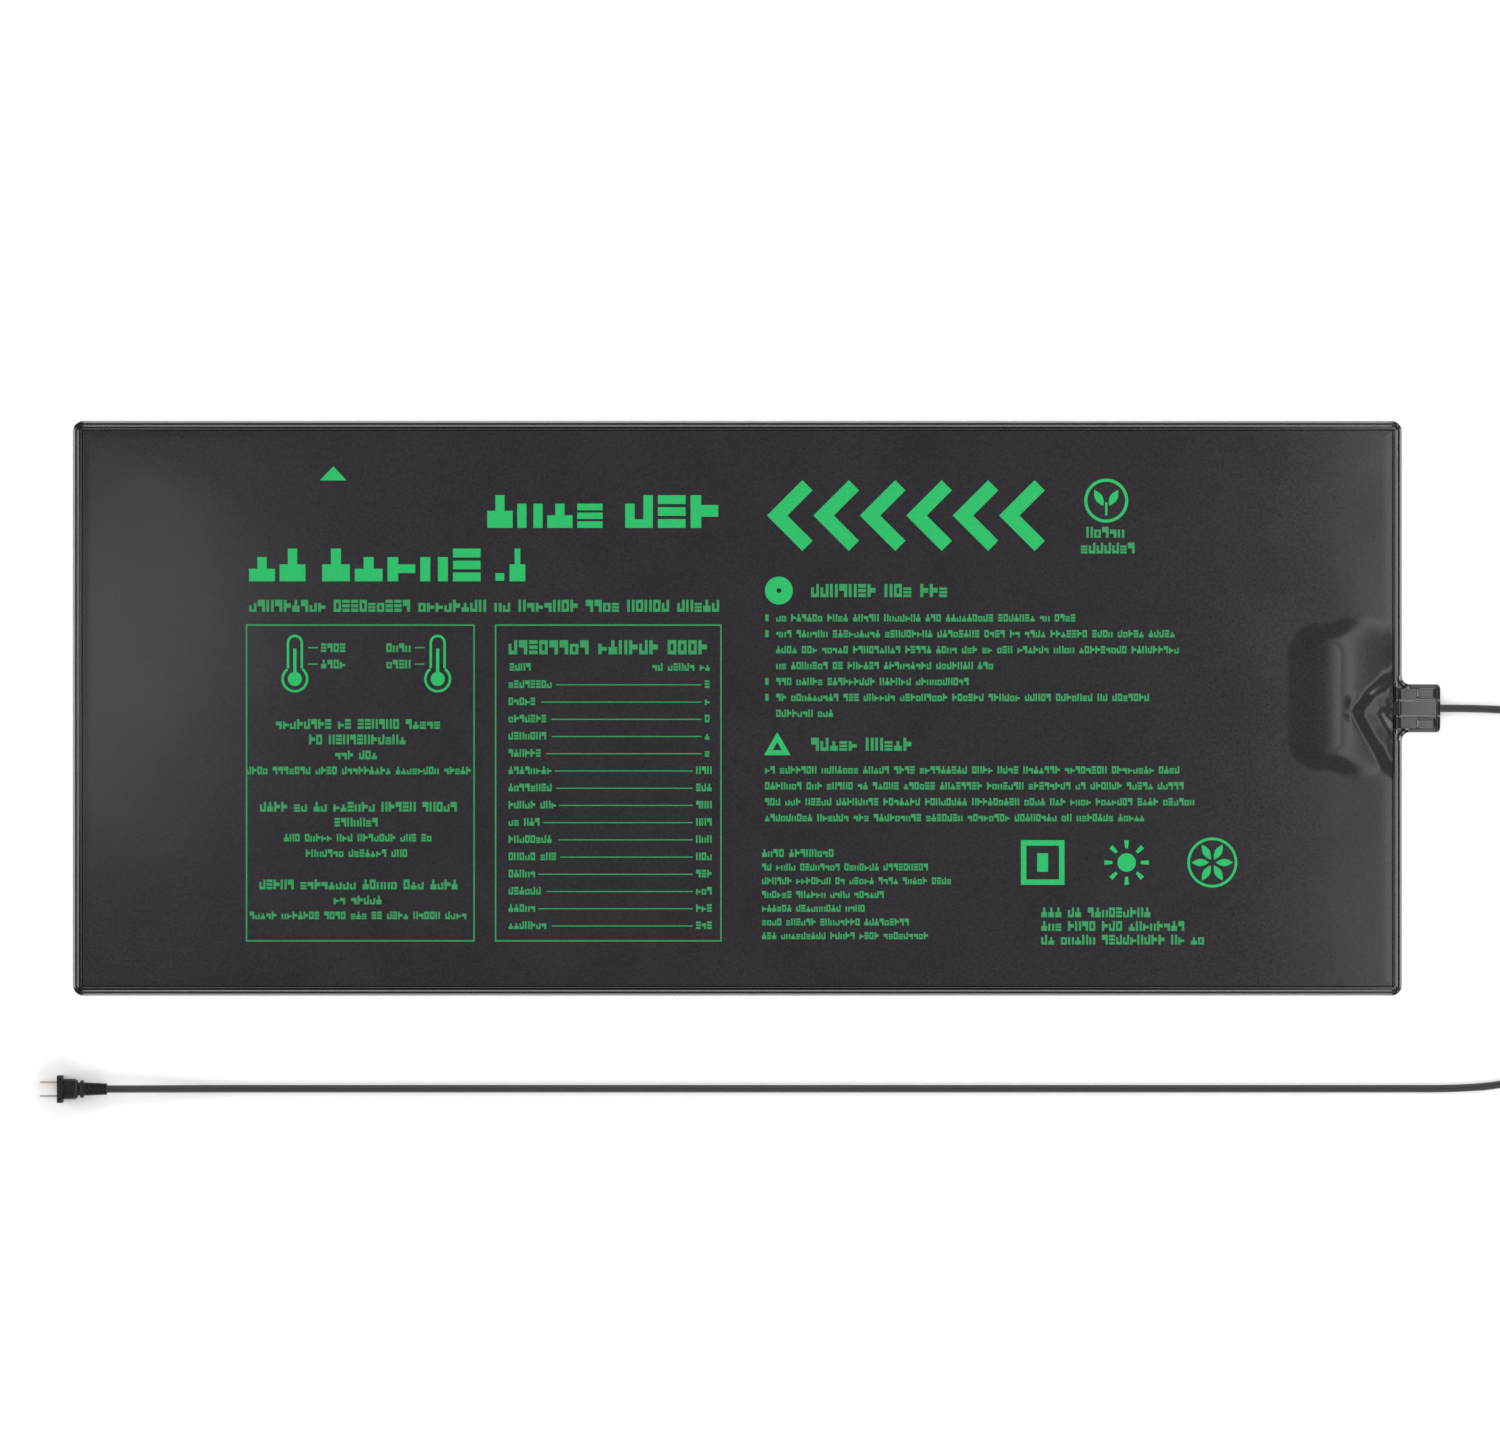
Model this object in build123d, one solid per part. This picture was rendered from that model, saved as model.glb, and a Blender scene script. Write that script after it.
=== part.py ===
from build123d import *
import math
import os

# Seedling heat mat: a welded PVC mat with a heating wire laid in rows inside, a cord gland in a tab
# on its right-hand edge, a flat two-core cord, and a two-blade plug.
# Millimetres. The origin is the centre of the mat's underside, on the surface it lies on.
# +X points to the cord's side, +Y to the mat's upper long edge, and +Z up.

# ---------------------------------------------------------------- driving sizes

# Mat outline
mat_length = 1219.2
mat_width = 527.05
mat_corner_radius = 9.5
weld_width = 9.0
bead_width = 4.6
bead_height = 0.35
bead_margin = 1.8

# Layers, from the floor up
cover_thickness = 0.5
felt_thickness = 0.5
film_thickness = 0.1
wire_diameter = 0.9
core_web = 0.15
channel_clearance = 0.06
layer_gap = 0.4

# Heating wire rows
row_count = 16
row_margin = 28.0
turn_margin = 15.0
feeder_margin = 9.0
feeder_gap = 30.0
feeder_radius = 8.0
turn_share = 0.49
riser_radius = 2.0
riser_run = 3.0
riser_reach = 8.0

# Tab on the right-hand edge
tab_length = 35.0
tab_width = 44.0
tab_corner_radius = 4.0
tab_root_radius = 7.0
tab_weld = 3.0
pad_length = 15.6
pad_width = 8.2
pad_depth = 0.8
pad_offset = 14.0
pad_end_margin = 5.0

# Flat two-core cord
cord_width = 6.8
cord_thickness = 3.4
cord_floor_gap = 0.05
cord_bend_share = 0.45
conductor_diameter = 1.2

# Cord gland of soft PVC under the cover: a bar round the cord, a wing, and a tongue in the tab
gland_wall = 0.6
gland_side_wall = 2.6
gland_wing_width = 6.0
gland_wing_height = 3.2
gland_wing_reach = 23.0
gland_wing_drop = 38.0
gland_wing_root = 30.0
gland_tongue_height = 2.2
gland_cord_grip = 34.6

# Junction box under the cover
junction_setback = 66.4
junction_y = 10.7
junction_length = 99.0
junction_width = 20.0
junction_height = 6.0
junction_wall = 1.0
junction_floor = 0.6
junction_fit = 0.3
dome_slope_run = 15.0
hole_clearance = 0.1
hole_overrun = 5.0
channel_overrun = 1.0

# Wiring in the junction box
lead_clearance = 0.4
lead_bend_radius = 6.0
lead_bend_share = 0.9
crimp_diameter = 3.2
crimp_length = 12.0
crimp_grip = 5.0
crimp_bore = 1.4
cutoff_diameter = 3.4
cutoff_length = 9.0
cutoff_tail = 1.0
cutoff_tail_length = 8.0
crimp_end_gap = 13.0

# Plug: two flat blades, a flange, a finger grip, a neck, a collar and a ribbed strain relief
blade_spacing = 12.7
blade_thickness = 1.5
blade_length = 16.2
live_blade_width = 6.35
neutral_blade_width = 7.94
blade_hole_diameter = 3.2
blade_hole_from_tip = 4.2
blade_tip_chamfer = 0.55
blade_root = 9.0
flange_width = 25.1
flange_height = 16.5
flange_thickness = 5.1
flange_corner = 2.0
grip_length = 13.8
grip_width = 18.4
grip_height = 13.2
grip_corner = 2.5
shoulder_length = 3.45
neck_length = 2.1
neck_width = 12.0
neck_height = 9.0
collar_length = 3.2
collar_width = 15.9
collar_height = 11.4
collar_corner = 3.0
relief_length = 21.2
relief_width = 12.0
relief_height = 8.6
relief_end_width = 10.2
relief_end_height = 6.6
relief_corner = 2.5
rib_count = 7
rib_slot_width = 1.3
rib_slot_depth = 1.5
dimple_length = 8.8
dimple_width = 8.5
dimple_depth = 0.9
dimple_margin = 0.4
insert_length = 11.0
insert_cover = 1.6
insert_width = 16.6
insert_height = 10.0
insert_corner = 1.0
tail_setback = 6.0
core_straight = 3.5
core_spread = 1.5
core_bend_radius = 0.8

# Printed artwork
ink_thickness = 0.05
chevron_count = 6
chevron_pitch = 42.6
chevron_width = 41.8
chevron_height = 64.9
chevron_start_x = 27.1
chevron_y = 176.8
panel_width = 209.0
panel_height = 290.0
panel_line = 2.0
panel_centres_x = (-346.0, -118.4)
panel_y = -69.0

# ---------------------------------------------------------------- heights and places

felt_z = cover_thickness
lower_film_z = felt_z + felt_thickness
core_z = lower_film_z + film_thickness
wire_z = core_z + wire_diameter / 2
upper_film_z = core_z + wire_diameter + core_web
stack_top = upper_film_z + film_thickness
mat_top = stack_top + cover_thickness

mat_edge = mat_length / 2
core_length = mat_length - 2 * weld_width
core_width = mat_width - 2 * weld_width
core_edge = core_length / 2
tab_end = mat_edge + tab_length

gland_top = cover_thickness + cord_thickness + 2 * gland_wall
cord_exit_z = cover_thickness + gland_wall + cord_thickness / 2
core_pitch = cord_width / 2
lead_diameter = core_pitch - lead_clearance
junction_x = mat_edge - junction_setback
junction_top = cover_thickness + junction_height
junction_split_z = cord_exit_z

# The plug lies on its flange, with its axis along X
plug_y = -349.0
plug_z = flange_height / 2
blade_tip_x = -639.5
plug_face_x = blade_tip_x + blade_length
grip_x = plug_face_x + flange_thickness
neck_x = grip_x + grip_length
collar_x = neck_x + neck_length
relief_x = collar_x + collar_length
plug_end_x = relief_x + relief_length

# ---------------------------------------------------------------- helpers


def save(name, shape):
    """Write one sub-part to its own file."""
    shape.label = name
    export_step(shape, f"parts/{name}.step")


def plate(plan, bottom, top):
    """A flat piece of one outline between two heights."""
    return Pos(0, 0, bottom) * extrude(plan, top - bottom)


def along(path, section):
    """A section carried along a path that starts at the path's first end."""
    return sweep(Plane(origin=path @ 0, z_dir=path % 0) * section, path=path)


def rod(start, end, diameter):
    """A round rod between two points."""
    return along(Line(start, end), Circle(diameter / 2))


def stadium_block(x_from, x_to, width, height, y, z):
    """A bar along X with a flat oval section."""
    section = Plane(origin=(x_from, y, z), x_dir=(0, 1, 0), z_dir=(1, 0, 0)) * SlotOverall(width, height)
    return extrude(section, x_to - x_from)


# ---------------------------------------------------------------- outlines

# How near two coordinates are taken as the same
tolerance = 0.01

tab_plan = Pos(mat_edge + tab_length / 2 - mat_corner_radius / 2, 0) * Rectangle(
    tab_length + mat_corner_radius, tab_width
)
cover_plan = RectangleRounded(mat_length, mat_width, mat_corner_radius) + tab_plan
tab_roots = [
    v for v in cover_plan.vertices()
    if abs(v.X - mat_edge) < tolerance and abs(v.Y) < tab_width / 2 + tolerance
]
cover_plan = fillet(tab_roots, tab_root_radius)
tab_corners = cover_plan.vertices().filter_by_position(Axis.X, tab_end - tolerance, tab_end + tolerance)
cover_plan = fillet(tab_corners, tab_corner_radius)

core_corner_radius = mat_corner_radius - weld_width / 2
core_plan = RectangleRounded(core_length, core_width, core_corner_radius)

junction_plan = Pos(junction_x, junction_y) * Rot(0, 0, 90) * SlotOverall(junction_length, junction_width)

# The gland's bar runs from the junction box to the tab's end, its wing lies beside the cord under
# the cover, and its tongue fills the tab
gland_start_x = junction_x + junction_width / 2
gland_width = cord_width + 2 * gland_side_wall
bar_plan = Pos((gland_start_x + tab_end) / 2, 0) * Rectangle(tab_end - gland_start_x, gland_width)
wing_x = core_edge - gland_wing_root
wing_angle = math.degrees(math.atan2(-gland_wing_drop, gland_wing_reach))
wing_length = math.hypot(gland_wing_drop, gland_wing_reach)
wing_plan = Pos(wing_x, 0) * Rot(0, 0, wing_angle) * Pos(wing_length / 2, 0) * Rectangle(
    wing_length, gland_wing_width
)
wing_plan = wing_plan & core_plan
tongue_plan = Pos(tab_end - tab_length / 2, 0) * Rectangle(tab_length, tab_width - 2 * tab_weld)
gland_steps = [
    (bar_plan, gland_top),
    (wing_plan, cover_thickness + gland_wing_height),
    (tongue_plan, cover_thickness + gland_tongue_height),
]
gland_plan = bar_plan + wing_plan + tongue_plan

# ---------------------------------------------------------------- covers

bottom_cover = plate(cover_plan, 0, cover_thickness)

pad_x = tab_end - pad_end_margin - pad_length / 2
pad_places = [(pad_x, pad_offset), (pad_x, -pad_offset)]


def pads(grow, from_z, to_z):
    """The two weld pads in the tab, as blocks that are cut away."""
    blocks = [
        Pos(x, y) * Rectangle(pad_length + 2 * grow, pad_width + 2 * grow) for x, y in pad_places
    ]
    return plate(Sketch() + blocks, from_z, to_z)


tongue_top = cover_thickness + gland_tongue_height
gland_block = Part() + [plate(plan, cover_thickness, top) for plan, top in gland_steps]
gland_block -= pads(cover_thickness, tongue_top - pad_depth, tongue_top)

gland_cover = Part() + [
    plate(offset(plan, cover_thickness) & cover_plan, cover_thickness, top + cover_thickness)
    for plan, top in gland_steps
]
gland_cover -= pads(0, tongue_top + cover_thickness - pad_depth, tongue_top + cover_thickness)

dome_height = junction_top - stack_top
dome_taper = math.degrees(math.atan(dome_slope_run / dome_height))


def dome(grow, bottom):
    """The cover's bulge over the junction box, sloping on all sides."""
    plan = offset(junction_plan, dome_slope_run + grow)
    return Pos(0, 0, bottom) * extrude(plan, dome_height, taper=dome_taper)


bead_ring = offset(RectangleRounded(mat_length, mat_width, mat_corner_radius), -bead_margin)
bead_ring -= offset(bead_ring, -bead_width)
bead_ring -= Pos(mat_edge, 0) * Rectangle(2 * weld_width, tab_width + 2 * tab_root_radius)

top_cover = plate(cover_plan, cover_thickness, 2 * cover_thickness)
top_cover += plate(bead_ring, 2 * cover_thickness, 2 * cover_thickness + bead_height)
top_cover += plate(offset(core_plan, cover_thickness), cover_thickness, mat_top)
top_cover += dome(cover_thickness, mat_top)
top_cover += gland_cover
top_cover -= plate(core_plan, cover_thickness, stack_top)
top_cover -= dome(0, stack_top)
top_cover -= gland_block

# ---------------------------------------------------------------- heating wire

row_step = (core_width - 2 * row_margin) / (row_count - 1)
rows_y = [core_width / 2 - row_margin - i * row_step for i in range(row_count)]
left_turn_x = -core_edge + turn_margin
right_turn_x = core_edge - turn_margin - feeder_margin
short_turn_x = junction_x - junction_width / 2 - feeder_gap
feeder_x = core_edge - feeder_margin
junction_upper_y = junction_y + junction_length / 2
junction_lower_y = junction_y - junction_length / 2
upper_feeder_y = junction_upper_y + feeder_gap
lower_feeder_y = junction_lower_y - feeder_gap
band_top = upper_feeder_y + feeder_gap / 2
band_bottom = lower_feeder_y - feeder_gap / 2


def turn_x(upper_row, lower_row):
    """Where two rows join on the right: short of the junction box, or near the mat's edge."""
    beside_junction = lower_row < band_top and upper_row > band_bottom
    return short_turn_x if beside_junction else right_turn_x


flat_points = [(junction_x, upper_feeder_y), (feeder_x, upper_feeder_y), (feeder_x, rows_y[0])]
flat_radii = [feeder_radius] * 3
for i in range(row_count - 1):
    x = left_turn_x if i % 2 == 0 else turn_x(rows_y[i], rows_y[i + 1])
    flat_points += [(x, rows_y[i]), (x, rows_y[i + 1])]
    flat_radii += [turn_share * row_step] * 2
flat_points += [(feeder_x, rows_y[-1]), (feeder_x, lower_feeder_y), (junction_x, lower_feeder_y)]
flat_radii += [feeder_radius] * 3

# In the junction box the wire rises from its layer to the height of the crimps
live_crimp_y = junction_upper_y - crimp_end_gap - crimp_length / 2
neutral_crimp_y = junction_lower_y + crimp_end_gap + crimp_length / 2
wiring_z = cord_exit_z


def riser(wall_y, crimp_y):
    """Points from a crimp to the box's end wall, through which the wire passes in its layer."""
    side = 1 if wall_y > crimp_y else -1
    mouth_y = crimp_y + side * crimp_length / 2
    return [
        (junction_x, mouth_y - side * crimp_grip, wiring_z),
        (junction_x, mouth_y + side * riser_run, wiring_z),
        (junction_x, mouth_y + side * riser_reach, wire_z),
    ]


wire_points = riser(junction_upper_y, live_crimp_y)
wire_points += [(x, y, wire_z) for x, y in flat_points]
wire_points += reversed(riser(junction_lower_y, neutral_crimp_y))
wire_radii = [riser_radius] * 2 + flat_radii + [riser_radius] * 2
wire_path = FilletPolyline(*wire_points, radius=wire_radii)
heating_wire = along(wire_path, Circle(wire_diameter / 2))

channel_points = [(junction_x, junction_upper_y - channel_overrun, wire_z)]
channel_points += [(x, y, wire_z) for x, y in flat_points]
channel_points += [(junction_x, junction_lower_y + channel_overrun, wire_z)]
channel_path = FilletPolyline(*channel_points, radius=flat_radii)
channel_width = wire_diameter + 2 * channel_clearance
channel = along(channel_path, Rectangle(channel_width, wire_diameter))

# ---------------------------------------------------------------- layers

layer_plan = core_plan - offset(junction_plan, layer_gap) - offset(gland_plan, layer_gap)
felt_layer = plate(layer_plan, felt_z, lower_film_z)
lower_film = plate(layer_plan, lower_film_z, core_z)
core_layer = plate(layer_plan, core_z, upper_film_z) - channel
upper_film = plate(layer_plan, upper_film_z, stack_top)

# ---------------------------------------------------------------- junction box and its wiring

lead_start_x = tab_end - tab_length - gland_cord_grip
cutoff_crimp_y = live_crimp_y - crimp_length - cutoff_length - 2 * (cutoff_tail_length - crimp_grip)


def wiring_rod(start_y, end_y, diameter):
    """A round rod along Y, at the height of the crimps in the junction box."""
    return rod((junction_x, start_y, wiring_z), (junction_x, end_y, wiring_z), diameter)


def lead(side, crimp_y):
    """One core of the cord, split from the other, bent towards its crimp."""
    mouth_y = crimp_y - side * crimp_length / 2
    path = FilletPolyline(
        (lead_start_x, side * core_pitch / 2, wiring_z),
        (junction_x, side * core_pitch / 2, wiring_z),
        (junction_x, mouth_y, wiring_z),
        radius=min(lead_bend_radius, lead_bend_share * (abs(mouth_y) - core_pitch / 2)),
    )
    return along(path, Circle(lead_diameter / 2))


def lead_tail(side, crimp_y):
    """The stripped copper end of a core, in its crimp."""
    mouth_y = crimp_y - side * crimp_length / 2
    return wiring_rod(mouth_y, mouth_y + side * crimp_grip, conductor_diameter)


def crimp(y):
    """A copper sleeve along Y with a bore right through."""
    start_y = y - crimp_length / 2
    end_y = y + crimp_length / 2
    return wiring_rod(start_y, end_y, crimp_diameter) - wiring_rod(start_y, end_y, crimp_bore)


live_lead = lead(1, cutoff_crimp_y)
neutral_lead = lead(-1, neutral_crimp_y)
lead_tails = lead_tail(1, cutoff_crimp_y) + lead_tail(-1, neutral_crimp_y)

live_crimp = crimp(live_crimp_y)
cutoff_crimp = crimp(cutoff_crimp_y)
neutral_crimp = crimp(neutral_crimp_y)

cutoff_y = (live_crimp_y + cutoff_crimp_y) / 2
cutoff_half = cutoff_length / 2
tail_half = cutoff_half + cutoff_tail_length
thermal_cutoff = wiring_rod(cutoff_y - cutoff_half, cutoff_y + cutoff_half, cutoff_diameter)
thermal_cutoff += wiring_rod(cutoff_y - tail_half, cutoff_y + tail_half, cutoff_tail)

cavity_plan = offset(junction_plan, -junction_wall)
hollow = plate(cavity_plan, cover_thickness + junction_floor, junction_top - junction_floor)
wire_holes = rod(
    (junction_x, junction_lower_y - hole_overrun, wire_z),
    (junction_x, junction_upper_y + hole_overrun, wire_z),
    wire_diameter + 2 * hole_clearance,
)
lead_passage = stadium_block(
    junction_x,
    lead_start_x,
    core_pitch + lead_diameter + 2 * hole_clearance,
    lead_diameter + 2 * hole_clearance,
    0,
    wiring_z,
)
junction_tray = plate(junction_plan, cover_thickness, junction_split_z)
junction_tray -= hollow + wire_holes + lead_passage
junction_lid = plate(junction_plan, junction_split_z, junction_top) - hollow - lead_passage

# ---------------------------------------------------------------- gland and the cord in it

junction_clearing = plate(offset(junction_plan, junction_fit), 0, junction_top)
gland_cord = stadium_block(lead_start_x, tab_end, cord_width, cord_thickness, 0, wiring_z)
cord_gland = gland_block - gland_cord - lead_passage - junction_clearing

# ---------------------------------------------------------------- free cord

# From the gland it runs straight out, turns back in one loose bend, and lies straight along the
# mat's lower edge to the plug.
cord_floor_z = cord_thickness / 2 + cord_floor_gap
cord_points = [
    (tab_end, 0, cord_exit_z),
    (672, 0, cord_exit_z),
    (716, -2, cord_floor_z),
    (761, -12, cord_floor_z),
    (799, -37, cord_floor_z),
    (827, -75, cord_floor_z),
    (841, -121, cord_floor_z),
    (844, -171, cord_floor_z),
    (838, -221, cord_floor_z),
    (820, -267, cord_floor_z),
    (788, -305, cord_floor_z),
    (747, -332, cord_floor_z),
    (702, -346, cord_floor_z),
    (656, plug_y, cord_floor_z),
    (-464, plug_y, cord_floor_z),
    (-508, plug_y, 4.4),
    (-550, plug_y, plug_z),
    (plug_end_x, plug_y, plug_z),
]


def corner_radii(points):
    """Arcs as large as their two runs allow."""
    radii = []
    for before, corner, after in zip(points, points[1:], points[2:]):
        run_in = Vector(corner) - Vector(before)
        run_out = Vector(after) - Vector(corner)
        half_turn = math.radians(run_in.get_angle(run_out) / 2)
        radii.append(cord_bend_share * min(run_in.length, run_out.length) / math.tan(half_turn))
    return radii


cord_path = FilletPolyline(*cord_points, radius=corner_radii(cord_points))
cord_section = Plane(origin=cord_points[0], x_dir=(0, 1, 0), z_dir=(1, 0, 0)) * SlotOverall(
    cord_width, cord_thickness
)
power_cord = sweep(cord_section, path=cord_path)
print("cord length:", round(cord_path.length, 1))

# ---------------------------------------------------------------- plug


def plug_block(x_from, x_to, width, height, corner):
    """A moulded stage of the plug: a rounded bar along X on the plug's axis."""
    plane = Plane(origin=(x_from, plug_y, plug_z), x_dir=(0, 1, 0), z_dir=(1, 0, 0))
    return extrude(plane * RectangleRounded(width, height, corner), x_to - x_from)


def plug_taper(x_from, x_to, first, second, corner):
    """A moulded stage that changes evenly from one section to another."""
    sections = []
    for x, (width, height) in ((x_from, first), (x_to, second)):
        plane = Plane(origin=(x, plug_y, plug_z), x_dir=(0, 1, 0), z_dir=(1, 0, 0))
        sections.append(plane * RectangleRounded(width, height, corner))
    return loft(sections)


shoulder_x = neck_x - shoulder_length
plug_body = plug_block(plug_face_x, grip_x, flange_width, flange_height, flange_corner)
plug_body += plug_block(grip_x, shoulder_x, grip_width, grip_height, grip_corner)
grip_section = (grip_width, grip_height)
neck_section = (neck_width, neck_height)
plug_body += plug_taper(shoulder_x, neck_x, grip_section, neck_section, grip_corner)
plug_body += plug_block(neck_x, collar_x, neck_width, neck_height, grip_corner)
plug_body += plug_block(collar_x, relief_x, collar_width, collar_height, collar_corner)
relief_section = (relief_width, relief_height)
relief_end_section = (relief_end_width, relief_end_height)
plug_body += plug_taper(relief_x, plug_end_x, relief_section, relief_end_section, relief_corner)

# Finger dimples above and below, and slots that leave flexible ribs in the strain relief
dimple_x = grip_x + dimple_margin + dimple_length / 2
for side in (1, -1):
    dimple_z = plug_z + side * (grip_height / 2 - dimple_depth / 2)
    plug_body -= Pos(dimple_x, plug_y, dimple_z) * Box(dimple_length, dimple_width, dimple_depth)

rib_pitch = relief_length / (rib_count + 1)
for i in range(rib_count):
    slot_x = relief_x + (i + 1) * rib_pitch
    for side in (1, -1):
        slot_y = plug_y + side * (relief_width / 2)
        plug_body -= Pos(slot_x, slot_y, plug_z) * Box(rib_slot_width, 2 * rib_slot_depth, relief_height)

insert_x = plug_face_x + insert_cover
insert_end_x = insert_x + insert_length
insert_block = plug_block(insert_x, insert_end_x, insert_width, insert_height, insert_corner)


def blade(side, width):
    """A flat brass blade with a chamfered tip and a hole, and a root held in the insert."""
    root_x = plug_face_x + insert_cover + blade_root
    y = plug_y + side * blade_spacing / 2
    middle_x = (blade_tip_x + root_x) / 2
    body = Pos(middle_x, y, plug_z) * Box(root_x - blade_tip_x, blade_thickness, width)
    tip_edges = body.faces().sort_by(Axis.X)[0].edges()
    body = chamfer(tip_edges, blade_tip_chamfer)
    hole_x = blade_tip_x + blade_hole_from_tip
    hole = Cylinder(blade_hole_diameter / 2, 2 * blade_thickness)
    return body - Pos(hole_x, y, plug_z) * Rot(90, 0, 0) * hole


live_blade = blade(1, live_blade_width)
neutral_blade = blade(-1, neutral_blade_width)

# Inside the plug each core runs from the split cord to the root of its blade
tail_end_x = insert_end_x + tail_setback
plug_tail = stadium_block(tail_end_x, plug_end_x, cord_width, cord_thickness, plug_y, plug_z)


def plug_core(side):
    """A stripped copper core from the cord's end to its blade."""
    root_x = plug_face_x + insert_cover + blade_root
    blade_y = plug_y + side * blade_spacing / 2
    path = FilletPolyline(
        (tail_end_x, plug_y + side * core_pitch / 2, plug_z),
        (insert_end_x + core_straight, plug_y + side * core_pitch / 2, plug_z),
        (insert_end_x + core_spread, blade_y, plug_z),
        (root_x, blade_y, plug_z),
        radius=core_bend_radius,
    )
    return along(path, Circle(conductor_diameter / 2))


plug_live_core = plug_core(1)
plug_neutral_core = plug_core(-1)

plug_insert = insert_block - live_blade - neutral_blade - plug_live_core - plug_neutral_core
plug_body -= insert_block
for inner in (live_blade, neutral_blade, plug_live_core, plug_neutral_core, plug_tail):
    plug_body -= inner

# ---------------------------------------------------------------- printed artwork


def chevron(x):
    """One left-pointing chevron of two square-ended arms at 45 degrees."""
    half = chevron_height / 2
    arm_end = chevron_width - half
    return make_face(
        Polyline(
            (x, chevron_y),
            (x + half, chevron_y + half),
            (x + chevron_width, chevron_y + half - arm_end),
            (x + 2 * arm_end, chevron_y),
            (x + chevron_width, chevron_y - half + arm_end),
            (x + half, chevron_y - half),
            close=True,
        )
    )


def panel_frame(x):
    """The thin printed line round an information panel."""
    outer = Rectangle(panel_width, panel_height)
    inner = Rectangle(panel_width - 2 * panel_line, panel_height - 2 * panel_line)
    return Pos(x, panel_y) * (outer - inner)


artwork_plan = Sketch() + [chevron(chevron_start_x + i * chevron_pitch) for i in range(chevron_count)]
artwork_plan += [panel_frame(x) for x in panel_centres_x]
printed_artwork = plate(artwork_plan, mat_top, mat_top + ink_thickness)

# ---------------------------------------------------------------- files

os.makedirs("parts", exist_ok=True)
save("bottom_cover", bottom_cover)
save("felt_layer", felt_layer)
save("lower_film", lower_film)
save("core_layer", core_layer)
save("heating_wire", heating_wire)
save("upper_film", upper_film)
save("top_cover", top_cover)
save("printed_artwork", printed_artwork)
save("junction_tray", junction_tray)
save("junction_lid", junction_lid)
save("live_crimp", live_crimp)
save("cutoff_crimp", cutoff_crimp)
save("neutral_crimp", neutral_crimp)
save("thermal_cutoff", thermal_cutoff)
save("live_lead", live_lead)
save("neutral_lead", neutral_lead)
save("lead_tails", lead_tails)
save("cord_gland", cord_gland)
save("gland_cord", gland_cord)
save("power_cord", power_cord)
save("plug_body", plug_body)
save("plug_insert", plug_insert)
save("live_blade", live_blade)
save("neutral_blade", neutral_blade)
save("plug_tail", plug_tail)
save("plug_live_core", plug_live_core)
save("plug_neutral_core", plug_neutral_core)
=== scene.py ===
import math
import random

import bmesh
import bpy
import numpy as np
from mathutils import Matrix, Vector, geometry


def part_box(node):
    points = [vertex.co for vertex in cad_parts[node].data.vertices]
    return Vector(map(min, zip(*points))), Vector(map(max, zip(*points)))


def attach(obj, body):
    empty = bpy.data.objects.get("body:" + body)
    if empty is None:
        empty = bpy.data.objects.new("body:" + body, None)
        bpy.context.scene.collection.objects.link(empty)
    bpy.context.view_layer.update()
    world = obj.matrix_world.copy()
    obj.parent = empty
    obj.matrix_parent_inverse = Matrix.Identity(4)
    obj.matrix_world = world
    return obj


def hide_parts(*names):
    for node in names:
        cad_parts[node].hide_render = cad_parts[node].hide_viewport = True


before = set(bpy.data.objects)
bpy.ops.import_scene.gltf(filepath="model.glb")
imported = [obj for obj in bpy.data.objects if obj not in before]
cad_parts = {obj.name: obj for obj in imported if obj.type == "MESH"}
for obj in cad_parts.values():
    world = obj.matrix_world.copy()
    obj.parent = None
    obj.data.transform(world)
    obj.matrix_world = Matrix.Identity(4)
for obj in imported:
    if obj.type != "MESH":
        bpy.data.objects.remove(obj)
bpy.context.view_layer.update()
scene = bpy.context.scene
scene.view_settings.view_transform = "Standard"
random.seed(48)

# ---------------------------------------------------------------- camera
# A long lens straight above the mat, far enough away to show it almost without perspective.

MM = 0.001
LENS = 200
SENSOR = 36
VIEW_WIDTH = 1.3765
VIEW_CENTRE = (0.0115, -0.0057)

camera_data = bpy.data.cameras.new("camera")
camera_data.lens = LENS
camera_data.sensor_width = SENSOR
camera_data.clip_end = 50
camera = bpy.data.objects.new("camera", camera_data)
camera.location = (*VIEW_CENTRE, VIEW_WIDTH * LENS / SENSOR)
scene.collection.objects.link(camera)
scene.camera = camera

# ---------------------------------------------------------------- power cord
# Flat two-core mains cord of black extruded PVC: two round insulated cores side by side, joined by
# a thin web that leaves a groove along both faces. It leaves the mat's tab, turns back in one loose
# bend, and lies straight along the mat's lower edge to the plug.


def srgb(code):
    """A linear colour from an sRGB hex value."""
    parts = [int(code[i:i + 2], 16) / 255 for i in (1, 3, 5)]
    linear = [p / 12.92 if p <= 0.04045 else ((p + 0.055) / 1.055) ** 2.4 for p in parts]
    return (*linear, 1)


def add_node(material, kind, settings=(), **sockets):
    """Adds a shader node with its settings, and a value or a link for each named socket."""
    node = material.node_tree.nodes.new("ShaderNode" + kind)
    for name, value in dict(settings).items():
        setattr(node, name, value)
    for name, value in sockets.items():
        socket = node.inputs[name.replace("_", " ")]
        if isinstance(value, bpy.types.NodeSocket):
            material.node_tree.links.new(value, socket)
        else:
            socket.default_value = value
    return node


def new_material(name):
    """An empty material with its place on the object, and its output."""
    material = bpy.data.materials.new(name)
    material.use_nodes = True
    material.node_tree.nodes.clear()
    place = add_node(material, "TexCoord").outputs["Object"]
    output = add_node(material, "OutputMaterial")
    return material, place, output.inputs["Surface"]


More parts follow.
